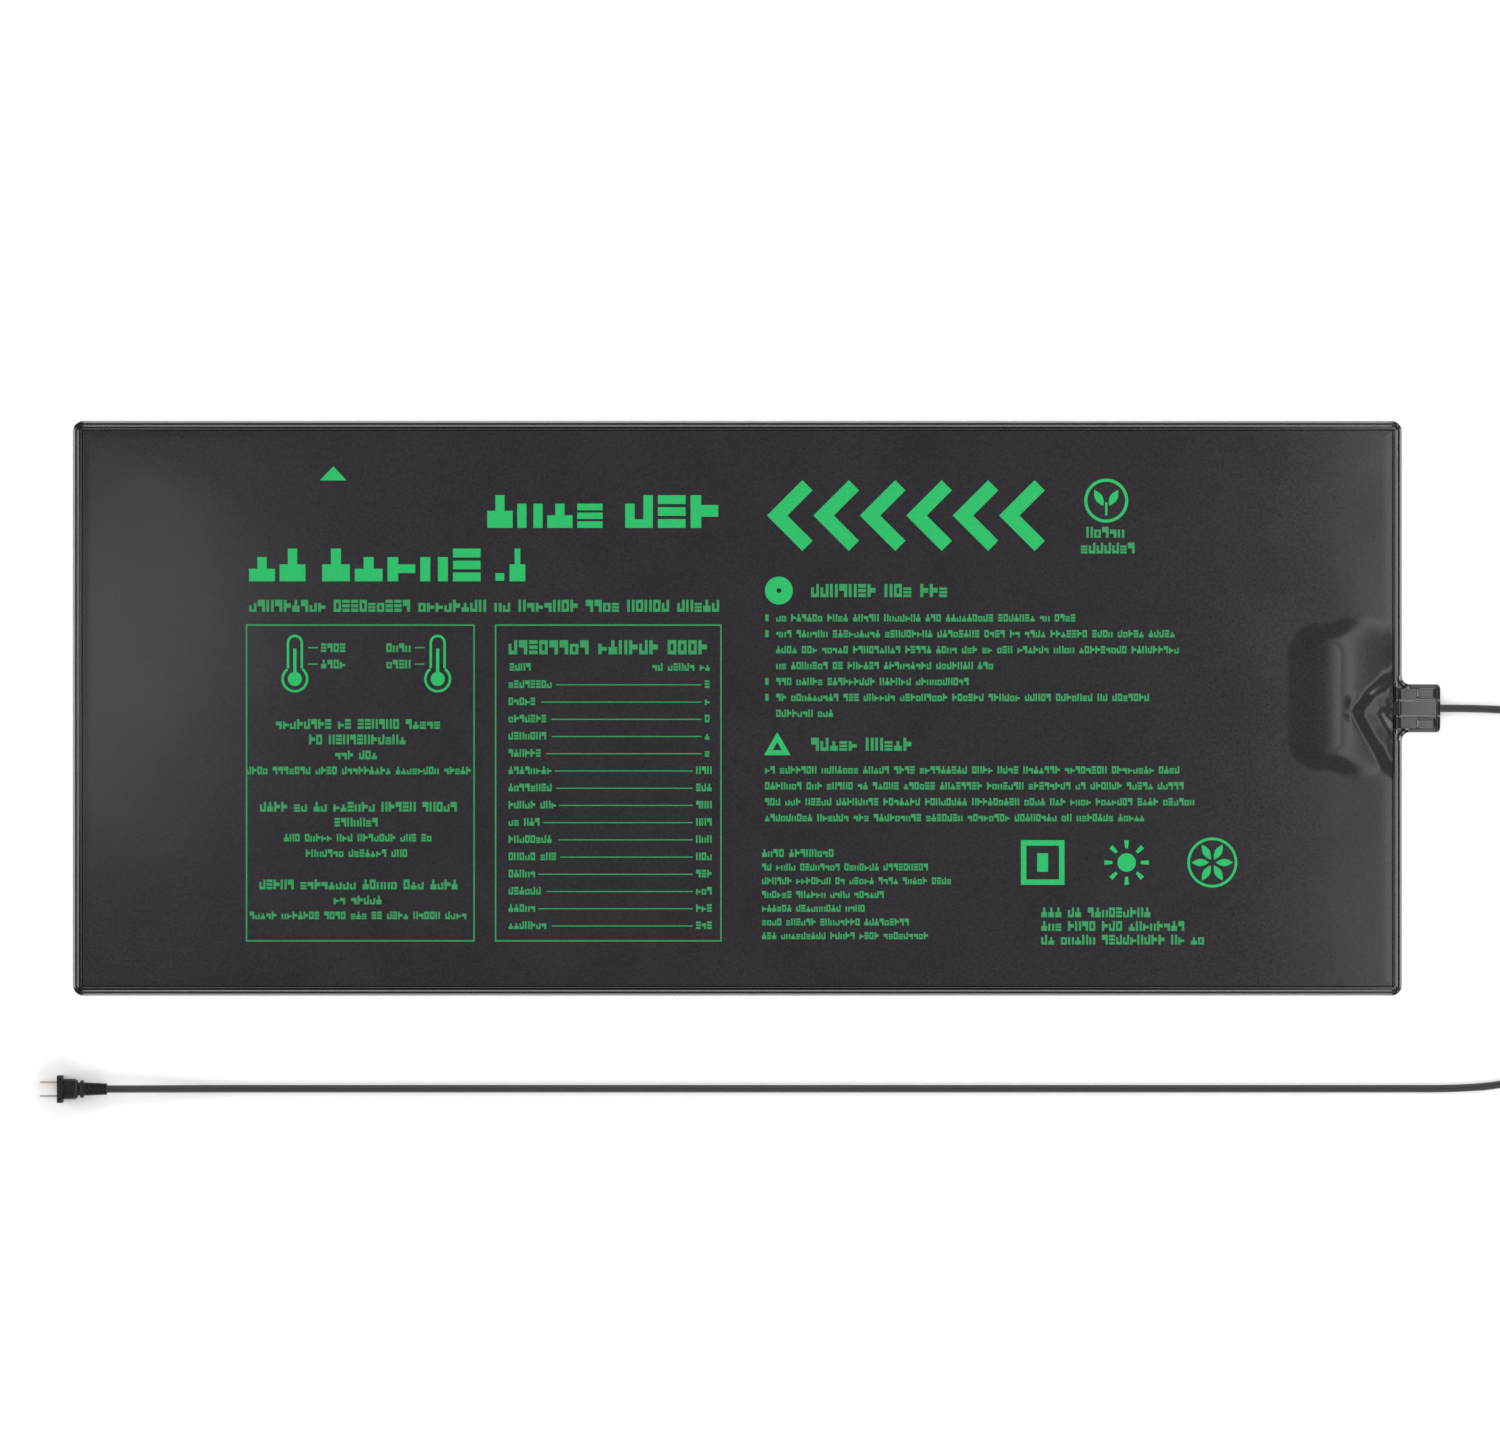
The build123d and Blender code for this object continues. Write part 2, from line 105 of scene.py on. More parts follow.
def extruded_pvc():
    """Extruded PVC: smooth and slightly waxy, with faint draw lines and scuffs."""
    material, place, surface = new_material("extruded_pvc")
    scuffs = add_node(material, "TexNoise", Vector=place, Scale=1 / (9 * MM), Detail=4.0)
    colour = add_node(
        material, "MixRGB", Fac=scuffs.outputs["Fac"], Color1=srgb("#1d1b1e"), Color2=srgb("#2f2c31")
    )
    rough = add_node(
        material, "MapRange", Value=scuffs.outputs["Fac"], To_Min=0.34, To_Max=0.52
    )
    grain = add_node(material, "TexNoise", Vector=place, Scale=1 / (0.7 * MM), Detail=2.0)
    bump = add_node(material, "Bump", Height=grain.outputs["Fac"], Strength=0.12, Distance=0.1 * MM)
    shader = add_node(
        material, "BsdfPrincipled", Base_Color=colour.outputs["Color"], Roughness=rough.outputs["Result"],
        Normal=bump.outputs["Normal"], IOR=1.53,
    )
    material.node_tree.links.new(shader.outputs["BSDF"], surface)
    return material


def spline_line(points, resolution):
    """Points along the order-three NURBS spline that has these control points."""
    curve = bpy.data.curves.new("line", "CURVE")
    curve.dimensions = "3D"
    spline = curve.splines.new("NURBS")
    spline.points.add(len(points) - 1)
    for point, place in zip(spline.points, points):
        point.co = (*place, 1)
    spline.order_u = 3
    spline.use_endpoint_u = True
    spline.resolution_u = resolution
    holder = bpy.data.objects.new("line", curve)
    mesh = bpy.data.meshes.new_from_object(holder)
    line = [v.co.copy() for v in mesh.vertices]
    bpy.data.objects.remove(holder)
    bpy.data.curves.remove(curve)
    bpy.data.meshes.remove(mesh)
    return line


def finish_piece(name, vertices, faces, materials, slot, replaced=(), sharp=35, choice=None):
    """Makes a piece of the mat from its mesh, riding on the one rigid body."""
    mesh = bpy.data.meshes.new(name)
    mesh.from_pydata([tuple(v) for v in vertices], [], faces)
    if choice is not None:
        mesh.polygons.foreach_set("material_index", choice)
    mesh.validate()
    mesh.shade_smooth()
    mesh.set_sharp_from_angle(angle=math.radians(sharp))
    for material in materials:
        mesh.materials.append(material)
    piece = bpy.data.objects.new(name, mesh)
    scene.collection.objects.link(piece)
    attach(piece, "root")
    if replaced:
        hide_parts(*replaced)
    return piece


def skin(rings):
    """Vertices and faces of a closed skin over a row of rings with equally many points."""
    count = len(rings[0])
    vertices = [p for ring in rings for p in ring]
    faces = []
    for i in range(len(rings) - 1):
        for j in range(count):
            k = (j + 1) % count
            faces.append((i * count + j, i * count + k, (i + 1) * count + k, (i + 1) * count + j))
    faces.append(tuple(range(count - 1, -1, -1)))
    faces.append(tuple((len(rings) - 1) * count + j for j in range(count)))
    return vertices, faces


CORE_RADIUS = 1.7 * MM
WEB_ANGLE = math.radians(154)
gland_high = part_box("cord_gland")[1]
CORD_EXIT = (gland_high[0], 0, 0.0028)
CORE_STEPS = 17

cord_points = [
    CORD_EXIT,
    (0.672, 0, 0.0028),
    (0.716, -0.002, 0.00175),
    (0.761, -0.012, 0.00175),
    (0.799, -0.037, 0.00175),
    (0.827, -0.075, 0.00175),
    (0.841, -0.121, 0.00175),
    (0.844, -0.171, 0.00175),
    (0.838, -0.221, 0.00175),
    (0.820, -0.267, 0.00175),
    (0.788, -0.305, 0.00175),
    (0.747, -0.332, 0.00175),
    (0.702, -0.346, 0.00175),
    (0.656, -0.349, 0.00175),
    (0.610, -0.349, 0.00175),
    (-0.420, -0.349, 0.00175),
    (-0.464, -0.349, 0.00175),
    (-0.508, -0.349, 0.0044),
    (-0.550, -0.349, 0.00825),
    (-0.5779, -0.349, 0.00825),
]
cord_line = spline_line(cord_points, 10)

cord_section = []
for side in (1, -1):
    for i in range(CORE_STEPS):
        turn = side * WEB_ANGLE * (2 * i / (CORE_STEPS - 1) - 1)
        cord_section.append((side * CORE_RADIUS * (1 + math.cos(turn)), CORE_RADIUS * math.sin(turn)))

cord_rings = []
for i, here in enumerate(cord_line):
    ahead = (cord_line[min(i + 1, len(cord_line) - 1)] - cord_line[max(i - 1, 0)]).normalized()
    side = ahead.cross(Vector((0, 0, 1))).normalized()
    up = side.cross(ahead)
    cord_rings.append([here + side * u + up * v for u, v in cord_section])

cord_pvc = extruded_pvc()
power_cord = finish_piece("flat_cord", *skin(cord_rings), [cord_pvc], "cord_pvc", ["power_cord"])

# ---------------------------------------------------------------- plug
# A moulded two-blade plug of soft black PVC. A rectangular flange, a rounded finger grip with a
# dimple on each face, a waist, a collar, and a strain relief with windows that let it flex.


def moulded_pvc():
    """Moulded PVC with a spark-eroded texture: matt, with a fine pebble grain."""
    material, place, surface = new_material("moulded_pvc")
    cloud = add_node(material, "TexNoise", Vector=place, Scale=1 / (6 * MM), Detail=3.0)
    colour = add_node(
        material, "MixRGB", Fac=cloud.outputs["Fac"], Color1=srgb("#0d0c0e"), Color2=srgb("#19181b")
    )
    pebble = add_node(material, "TexVoronoi", Vector=place, Scale=1 / (0.35 * MM))
    bump = add_node(
        material, "Bump", Height=pebble.outputs["Distance"], Strength=0.25, Distance=0.05 * MM
    )
    shader = add_node(
        material, "BsdfPrincipled", Base_Color=colour.outputs["Color"], Roughness=0.5, IOR=1.53,
        Specular_IOR_Level=0.35, Normal=bump.outputs["Normal"],
    )
    material.node_tree.links.new(shader.outputs["BSDF"], surface)
    return material


def rounded_ring(x, half_width, half_height, corner, arc_steps=9):
    """A ring across the plug's axis, in millimetres from the plug's face and axis."""
    corner = min(corner, half_width, half_height)
    ring = []
    for quarter, (sy, sz) in enumerate(((1, 1), (-1, 1), (-1, -1), (1, -1))):
        for i in range(arc_steps):
            turn = math.radians(90 * (quarter + i / (arc_steps - 1)))
            y = sy * (half_width - corner) + corner * math.cos(turn)
            z = sz * (half_height - corner) + corner * math.sin(turn)
            ring.append((x, y, z))
    return ring


def stage(x_from, x_to, half_width, half_height, corner, edge):
    """Rings of one moulded stage, with rounded edges at both ends."""
    rings = []
    for end, way in ((x_from, 1), (x_to, -1)):
        curve = [
            (end + way * edge * (1 - math.cos(a)), edge * (1 - math.sin(a)))
            for a in (0, math.pi / 6, math.pi / 3, math.pi / 2)
        ]
        if way < 0:
            curve.reverse()
        rings += [rounded_ring(x, half_width - cut, half_height - cut, corner) for x, cut in curve]
    return rings


plug_low, plug_high = (Vector(c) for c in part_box("plug_body"))
plug_face = Vector((plug_low.x, (plug_low.y + plug_high.y) / 2, (plug_low.z + plug_high.z) / 2))
# Where each stage ends along the plug, and its half width and half height
FLANGE_END = 5.1
SHOULDER = 15.0
NECK = 18.9
COLLAR = 21.0
RELIEF = 24.2
RELIEF_END = 45.4
FLANGE = (12.55, 8.25)
GRIP = (9.2, 6.6)
WAIST = (6.0, 4.5)
RING = (7.95, 5.7)
RELIEF_WIDE = (6.0, 4.3)
RELIEF_NARROW = (5.15, 3.35)
RELIEF_TIP = (4.75, 2.95)
TIP_ROUND = 0.5
BODY_CORNER = 2.5
SHOULDER_STEPS = 8

plug_rings = stage(0, FLANGE_END, *FLANGE, 2.0, 0.5)
plug_rings += stage(FLANGE_END, SHOULDER, *GRIP, BODY_CORNER, 0.3)[:-3]
for i in range(1, SHOULDER_STEPS + 1):
    fall = 1 - math.sqrt(1 - (i / SHOULDER_STEPS) ** 2)
    x = SHOULDER + (NECK - SHOULDER) * i / SHOULDER_STEPS
    size = [g + (w - g) * fall for g, w in zip(GRIP, WAIST)]
    plug_rings.append(rounded_ring(x, *size, BODY_CORNER))
plug_rings.append(rounded_ring(COLLAR, *WAIST, BODY_CORNER))
plug_rings += stage(COLLAR, RELIEF, *RING, 3.0, 0.9)
plug_rings.append(rounded_ring(RELIEF, *RELIEF_WIDE, BODY_CORNER))
plug_rings.append(rounded_ring(RELIEF_END - TIP_ROUND, *RELIEF_NARROW, BODY_CORNER))
plug_rings.append(rounded_ring(RELIEF_END, *RELIEF_TIP, 2.3))


def block(x, y, z):
    """Corner points and faces of a box between pairs of limits."""
    corners = [(a, b, c) for a in x for b in y for c in z]
    faces = [(0, 1, 3, 2), (4, 6, 7, 5), (0, 4, 5, 1), (2, 3, 7, 6), (0, 2, 6, 4), (1, 5, 7, 3)]
    return corners, faces


def join_parts(parts):
    """One list of vertices and one of faces, from several."""
    vertices = []
    faces = []
    for part_vertices, part_faces in parts:
        faces += [tuple(i + len(vertices) for i in face) for face in part_faces]
        vertices += part_vertices
    return vertices, faces


# The relief's windows: pairs on the broad faces, staggered about the middle, and one on each side
WINDOW_COUNT = 7
WINDOW_WIDTH = 1.3
WINDOW_FLOOR = 2.1
WINDOW_START = 1.9
WINDOW_MARGIN = 1.5
WINDOW_NEAR, WINDOW_FAR = 0.8, 2.5
SIDE_WINDOW_DEPTH = 0.9
SIDE_WINDOW_HALF = 1.7
RAIL = 0.7

hollows = []
window_pitch = (RELIEF_END - RELIEF - WINDOW_MARGIN) / (WINDOW_COUNT + 0.5)
for i in range(WINDOW_COUNT):
    x = RELIEF + WINDOW_START + (i + 0.5) * window_pitch
    span = (x - WINDOW_WIDTH / 2, x + WINDOW_WIDTH / 2)
    share = (x - RELIEF) / (RELIEF_END - RELIEF)
    width, height = [w + (n - w) * share for w, n in zip(RELIEF_WIDE, RELIEF_NARROW)]
    outer = width - RAIL
    left, right = (WINDOW_NEAR, WINDOW_FAR) if i % 2 == 0 else (WINDOW_FAR, WINDOW_NEAR)
    for face in (1, -1):
        z = sorted((face * WINDOW_FLOOR, face * (height + 1)))
        hollows.append(block(span, (left, outer), z))
        hollows.append(block(span, (-outer, -right), z))
        y = sorted((face * (outer - SIDE_WINDOW_DEPTH), face * (outer + 2)))
        hollows.append(block(span, y, (-SIDE_WINDOW_HALF, SIDE_WINDOW_HALF)))

# Each dimple's middle along the plug, its half sizes and its corners, then its depths and flare
DIMPLE_X = 9.9
DIMPLE_HALF = (4.4, 4.25)
DIMPLE_CORNER = 1.2
for face in (1, -1):
    tray = []
    for depth, grow in ((GRIP[1] - 0.9, -0.5), (GRIP[1] - 0.2, 0), (GRIP[1] + 1, 0.3)):
        ring = rounded_ring(0, DIMPLE_HALF[0] + grow, DIMPLE_HALF[1] + grow, DIMPLE_CORNER, 5)
        tray.append([(DIMPLE_X + y, z * face, depth * face) for _, y, z in ring])
    hollows.append(skin(tray))


def to_plug(points):
    """Millimetres on the plug's axis, turned to places in the row frame."""
    return [plug_face + Vector(p) * MM for p in points]


plug_pvc = moulded_pvc()
plug_vertices, plug_faces = skin(plug_rings)
plug_body = finish_piece(
    "plug_moulding", to_plug(plug_vertices), plug_faces, [plug_pvc], "plug_pvc", ["plug_body"]
)
cutter_vertices, cutter_faces = join_parts(hollows)
cutter_mesh = bpy.data.meshes.new("cutter")
cutter_mesh.from_pydata(to_plug(cutter_vertices), [], cutter_faces)
cutter = bpy.data.objects.new("cutter", cutter_mesh)
scene.collection.objects.link(cutter)


def make_normals_agree(mesh):
    """Turns every face outward."""
    shell = bmesh.new()
    shell.from_mesh(mesh)
    bmesh.ops.recalc_face_normals(shell, faces=shell.faces)
    shell.to_mesh(mesh)
    shell.free()


make_normals_agree(cutter_mesh)
make_normals_agree(plug_body.data)
cut = plug_body.modifiers.new("windows", "BOOLEAN")
cut.operation = "DIFFERENCE"
cut.solver = "EXACT"
cut.object = cutter
bpy.context.view_layer.update()
cut_mesh = bpy.data.meshes.new_from_object(plug_body.evaluated_get(bpy.context.evaluated_depsgraph_get()))
plug_body.modifiers.clear()
plug_body.data = cut_mesh
cut_mesh.name = "plug_moulding"
cut_mesh.set_sharp_from_angle(angle=math.radians(35))
bpy.data.objects.remove(cutter)

# ---------------------------------------------------------------- studio
# A white paper table. Four large soft boxes stand low round it, two smaller ones light the tab's
# corners, and a narrow box high above each end gives the film its soft sheen.


def plain_paper():
    """Matt white background paper."""
    material, _, surface = new_material("white_paper")
    shader = add_node(material, "BsdfPrincipled", Base_Color=srgb("#fcfcfc"), Roughness=0.9)
    material.node_tree.links.new(shader.outputs["BSDF"], surface)
    return material


FLOOR_HALF = 12
floor_mesh = bpy.data.meshes.new("floor")
floor_corners = [(-1, -1), (1, -1), (1, 1), (-1, 1)]
floor_mesh.from_pydata([(FLOOR_HALF * x, FLOOR_HALF * y, 0) for x, y in floor_corners], [], [(0, 1, 2, 3)])
floor_mesh.materials.append(plain_paper())
floor = bpy.data.objects.new("floor", floor_mesh)
floor.location.z = -0.1 * MM
scene.collection.objects.link(floor)


def soft_box(name, place, target, width, length, power):
    """A rectangular area light aimed at a point; where it leans along X, its length lies along Y."""
    light = bpy.data.lights.new(name, "AREA")
    light.shape = "RECTANGLE"
    light.size, light.size_y = width, length
    light.energy = power
    holder = bpy.data.objects.new(name, light)
    holder.location = place
    holder.rotation_euler = (Vector(target) - Vector(place)).to_track_quat("-Z", "X").to_euler()
    scene.collection.objects.link(holder)


soft_box("right_end_box", (0.88, 0.05, 2.0), (0.75, 0.05, 0), 0.24, 1.5, 3.8)
soft_box("left_end_box", (-0.73, 0.06, 2.0), (-0.65, 0.04, 0), 0.2, 0.4, 0.6)
for side in (1, -1):
    soft_box("long_side_box", (0, 3.0 * side, 1.5), (0, 0.3 * side, 0), 2.2, 2.2, 70)
    soft_box("short_side_box", (3.2 * side, 0, 1.5), (0.3 * side, 0, 0), 2.2, 2.2, 70)
    soft_box("corner_box", (2.4, 1.8 * side, 1.5), (0.62, 0.03 * side, 0), 0.7, 0.7, 9)
world = bpy.data.worlds.new("studio")
world.use_nodes = True
background = world.node_tree.nodes["Background"]
background.inputs["Color"].default_value = (1, 1, 1, 1)
background.inputs["Strength"].default_value = 0.1
scene.world = world

# ---------------------------------------------------------------- top cover
# One sheet of black calendered PVC film, welded to the bottom sheet round its rim and formed over
# what lies inside: the heated layers, the junction box, and the gland and its tab.

bottom_low, bottom_high = (Vector(c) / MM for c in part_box("bottom_cover"))
lid_low, lid_high = (Vector(c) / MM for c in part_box("junction_lid"))
COVER_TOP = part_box("top_cover")[1][2] / MM

HALF_LENGTH = -bottom_low.x
HALF_WIDTH = bottom_high.y
TAB_END = bottom_high.x
FILM = 0.5
FILM_CUT = 0.45
MAT_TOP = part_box("upper_film")[1][2] / MM + FILM
MAT_CORNER = 9.5
WELD_TOP = 1.12
EDGE_TOP = 0.52
EDGE_SLOPE = 1.1
WELD_INSET = 8.8
NARROW_INSET = 2.3
NARROW_HALF = 1.6
NARROW_RISE = 0.55
BROAD_START = 3.6
BROAD_END = 7.3
BROAD_RISE = 1.05
TAB_HALF = 22.0
TAB_CORNER = 4.0
ROOT_RADIUS = 7.0
TONGUE_TOP = 3.25
TONGUE_HALF = 19.0
TONGUE_ROUND = 1.1
BAR_TOP = gland_high[2] / MM + FILM
BAR_HALF = 6.3
BAR_ROUND = 1.6
BAR_SKIRT = 12.0
LID_RADIUS = (lid_high.x - lid_low.x) / 2
LID_X = (lid_high.x + lid_low.x) / 2
LID_AXIS = [(LID_X, lid_low.y + LID_RADIUS), (LID_X, lid_high.y - LID_RADIUS)]
DOME_END_RUN = 20.0
DOME_LEFT_RUN = 28.0
DOME_RIGHT_RUN = 60.0
# The tent's ridge, with its heights, and the line where its foot meets the flat film
FOLD = [
    (640, 2, 5.6), (612, 5, 7.0), (596, 10, 8.3), (586, 5, 8.8),
    (579, -4, 9.0), (587, -19, 8.0), (601, -40, 6.2), (609, -53, 4.8),
]
FOLD_FOOT = [
    (556, -2.5), (562, 6), (589, 35), (602, 43), (640, 46),
    (640, -66), (604, -64), (588, -54), (562, -12),
]
FOLD_RUN = 16.0
FOLD_CREASE = 14.0
CREASE_SHARE = 0.55
FOLD_HALF = 4.0
FOLD_TILT = 0.045
FOLD_ROUND = 2.0
BAR_JOIN = 2.0
TENT_JOIN = 3.5
PADS = [(TAB_END - 12.8, 14.0), (TAB_END - 12.8, -14.0)]
PAD_HALF = (7.8, 4.1)
PAD_DEPTH = 0.8
PAD_ROUND = 0.9
LIP_INSET = 2.2
LIP_HALF = 1.1
LIP_DEPTH = 0.35
# Over the tongue the tab's end is cut off square: its edge slope is moved far out and up
FREE_EDGE = 50
FREE_RISE = 5
SHOULDER_DROP = 0.15
GROOVE = 8.4
ROOT_BEAD = 2.4
ROOT_SLOPE = 0.62
ROOT_BEAD_TOP = 2.6


def ease(t):
    """A smooth step from 0 to 1."""
    t = np.clip(t, 0, 1)
    return t * t * (3 - 2 * t)


def swell(t):
    """A smooth bump of height 1 between -1 and 1."""
    return np.maximum(0, 1 - t * t) ** 2


def edge_distance(x, y):
    """How far inside the mat's rounded outline a place is, without the tab."""
    qx = np.abs(x) - (HALF_LENGTH - MAT_CORNER)
    qy = np.abs(y) - (HALF_WIDTH - MAT_CORNER)
    return MAT_CORNER - np.hypot(np.maximum(qx, 0), np.maximum(qy, 0)) - np.minimum(np.maximum(qx, qy), 0)


def nearest_on(x, y, chain):
    """Distance to a chain of stretches, the chain's height there, and which side of it the place is."""
    nearest = np.full(np.shape(x), np.inf)
    height = np.zeros(np.shape(x))
    side = np.zeros(np.shape(x))
    for (ax, ay, az), (bx, by, bz) in zip(chain, chain[1:]):
        dx, dy = bx - ax, by - ay
        t = np.clip(((x - ax) * dx + (y - ay) * dy) / (dx * dx + dy * dy), 0, 1)
        away = np.hypot(x - ax - t * dx, y - ay - t * dy)
        closer = away < nearest
        nearest = np.where(closer, away, nearest)
        height = np.where(closer, az + t * (bz - az), height)
        side = np.where(closer, np.sign(dx * (y - ay) - dy * (x - ax)), side)
    return nearest, height, side


def chain_distance(x, y, chain):
    """The distance to a chain of straight stretches."""
    return nearest_on(x, y, [(cx, cy, 0) for cx, cy in chain])[0]


WAVE_COUNT = 9
WAVE_HEIGHT = 0.045
WAVES = [
    (random.uniform(0, 6.28), random.uniform(0, 6.28), random.uniform(90, 260)) for _ in range(WAVE_COUNT)
]


def film_waves(x, y):
    """Shallow waves of a film that has been rolled up and laid flat again."""
    total = np.zeros(np.shape(x))
    for heading, phase, length in WAVES:
        total += np.sin((x * math.cos(heading) + y * math.sin(heading)) * 2 * math.pi / length + phase)
    return WAVE_HEIGHT * total


def blend(a, b, width):
    """The larger of two heights, with a soft join where both stand up."""
    near = np.clip(1 - np.abs(a - b) / width, 0, 1)
    return np.maximum(a, b) + 0.25 * width * near ** 2 * np.clip((a + b) / width, 0, 1)


def dome_height(x, y):
    """How far the junction box lifts the film: steeper at its ends, and gentlest toward the tab."""
    away = chain_distance(x, y, LID_AXIS)
    lean = np.clip((x - LID_X) / np.maximum(away, 1), -1, 1)
    run = DOME_END_RUN + (np.where(lean < 0, DOME_LEFT_RUN, DOME_RIGHT_RUN) - DOME_END_RUN) * lean ** 2
    crown = COVER_TOP - MAT_TOP - 0.25 * np.clip(away / LID_RADIUS, 0, 1) ** 2
    return crown * (1 - ease((away - LID_RADIUS - 0.3) / run))


def lifted_height(x, y):
    """How far the film is lifted: over the box, in a bar from it to the tab, and in a folded tent."""
    foot = FOLD_FOOT + FOLD_FOOT[:1]
    inside = np.ones(np.shape(x), bool)
    for (ax, ay), (bx, by) in zip(foot, foot[1:]):
        inside &= (bx - ax) * (y - ay) - (by - ay) * (x - ax) < 0
    to_foot = chain_distance(x, y, foot)
    dome = dome_height(x, y) * (1 - CREASE_SHARE * ease(to_foot / FOLD_CREASE) * inside)
    away, top, side = nearest_on(x, y, FOLD)
    top = top - FOLD_TILT * np.minimum(away, FOLD_HALF) * np.where(side < 0, -1, 1)
    away = np.hypot(np.maximum(away - FOLD_HALF, 0), FOLD_ROUND) - FOLD_ROUND
    outer = np.where(inside, 1 - ease(away / (away + to_foot + 1e-6)), 0)
    inner = 1 - ease(away / FOLD_RUN)
    fold = (top - MAT_TOP) * np.where(side < 0, outer, inner * inside)
    in_bar = ease((x - LID_X - LID_RADIUS) / LID_RADIUS)
    bar = (BAR_TOP - MAT_TOP) * (1 - ease((np.abs(y) - BAR_HALF) / BAR_SKIRT)) * in_bar
    return blend(dome, blend(fold, bar, BAR_JOIN), TENT_JOIN)


def tab_height(x, y):
    """The height across the tab: weld, tongue, pads and the ridge over the cord."""
    across = np.abs(y)
    height = WELD_TOP + (TONGUE_TOP - WELD_TOP) * (1 - ease((across - TONGUE_HALF + 0.3) / TONGUE_ROUND))
    height += (BAR_TOP - TONGUE_TOP) * (1 - ease((across - BAR_HALF) / BAR_ROUND))
    for pad_x, pad_y in PADS:
        reach = np.maximum(np.abs(x - pad_x) - PAD_HALF[0], np.abs(y - pad_y) - PAD_HALF[1])
        height -= PAD_DEPTH * (1 - ease((reach + 0.5) / PAD_ROUND))
    height -= LIP_DEPTH * swell((x - (TAB_END - LIP_INSET)) / LIP_HALF)
    over_tongue = across < TONGUE_HALF
    edge = np.minimum(TAB_HALF - across, TAB_END - x + FREE_EDGE * over_tongue)
    slope_top = WELD_TOP - EDGE_TOP + FREE_RISE * over_tongue
    return np.minimum(height, EDGE_TOP + slope_top * np.clip(edge / EDGE_SLOPE, 0, 1))


def rim_height(depth):
    """The height across the welded rim: a narrow bead, a broad one, and the weld's groove."""
    height = EDGE_TOP + (WELD_TOP - EDGE_TOP) * np.clip(depth / EDGE_SLOPE, 0, 1)
    height += NARROW_RISE * swell((depth - NARROW_INSET) / NARROW_HALF)
    return height + BROAD_RISE * (ease((depth - BROAD_START) / 1.5) - ease((depth - BROAD_END) / 1.0))


def film_height(x, y):
    """The height of the top cover's outer face, in millimetres."""
    x, y = np.asarray(x, float), np.asarray(y, float)
    depth = edge_distance(x, y)
    rim = rim_height(depth)
    face = MAT_TOP + film_waves(x, y) * ease((depth - 14) / 40)
    face += lifted_height(x, y)
    shoulder = SHOULDER_DROP * (1 - ease((depth - 9) / 6))
    height = rim + (face - shoulder - rim) * ease((depth - GROOVE) / 0.6)
    in_tab = ease((x - HALF_LENGTH + 8) / 7) * (1 - ease((np.abs(y) - TAB_HALF + 2) / 5))
    in_tab = np.where((x > HALF_LENGTH) & (np.abs(y) <= TAB_HALF), 1, in_tab)
    height = height + (tab_height(x, y) - height) * in_tab
    for side in (1, -1):
        root = np.hypot(x - HALF_LENGTH - ROOT_RADIUS, y - side * (TAB_HALF + ROOT_RADIUS)) - ROOT_RADIUS
        near = (x < HALF_LENGTH + ROOT_RADIUS + 1) & (side * y < TAB_HALF + ROOT_RADIUS + 1)
        bead = EDGE_TOP + np.minimum(ROOT_SLOPE * root, ROOT_BEAD_TOP - 1.3 * (root - ROOT_BEAD))
        height = np.where(near, np.maximum(height, bead), height)
    return np.maximum(height, EDGE_TOP)


def arc(cx, cy, radius, start, end, steps):
    """Points on an arc, with its angles in degrees."""
    turns = [math.radians(start + (end - start) * i / steps) for i in range(steps + 1)]
    return [(cx + radius * math.cos(t), cy + radius * math.sin(t)) for t in turns]


def spaced(start, end, count):
    """Evenly spaced points from a start up to, but not on, an end."""
    return [
        (start[0] + (end[0] - start[0]) * i / count, start[1] + (end[1] - start[1]) * i / count)
        for i in range(count)
    ]


# The tab's stretch of the edge, and how finely the rest of the edge is divided
TAB_REACH = 31.5
LONG_STEPS = 110
SHORT_STEPS = 46
SIDE_STEPS = 60
CORNER_STEPS = 8


def rim_loop(inset):
    """The mat's outline moved inward, from above the tab round to below it."""
    radius = max(MAT_CORNER - inset, 0.3)
    hx, hy = HALF_LENGTH - inset, HALF_WIDTH - inset
    rx, ry = hx - radius, hy - radius
    loop = spaced((hx, TAB_REACH), (hx, ry), SIDE_STEPS) + arc(rx, ry, radius, 0, 90, CORNER_STEPS)
    loop += spaced((rx, hy), (-rx, hy), LONG_STEPS)[1:] + arc(-rx, ry, radius, 90, 180, CORNER_STEPS)
    loop += spaced((-hx, ry), (-hx, -ry), SHORT_STEPS)[1:] + arc(-rx, -ry, radius, 180, 270, CORNER_STEPS)
    loop += spaced((-rx, -hy), (rx, -hy), LONG_STEPS)[1:] + arc(rx, -ry, radius, 270, 360, CORNER_STEPS)
    return loop + spaced((hx, -ry), (hx, -TAB_REACH), SIDE_STEPS)[1:] + [(hx, -TAB_REACH)]


def merge_places(places, faces):
    """Joins places that lie on each other, and renumbers the faces."""
    numbers = {}
    renamed = [numbers.setdefault((round(x, 3), round(y, 3)), len(numbers)) for x, y in places]
    return list(numbers), [tuple(renamed[i] for i in face) for face in faces]


def scatter(x_from, x_to, y_from, y_to, step, wanted):
    """A grid of places, kept where they are wanted."""
    xs, ys = np.meshgrid(np.arange(x_from, x_to, step), np.arange(y_from, y_to, step))
    keep = wanted(xs, ys)
    return list(zip(xs[keep].tolist(), ys[keep].tolist()))


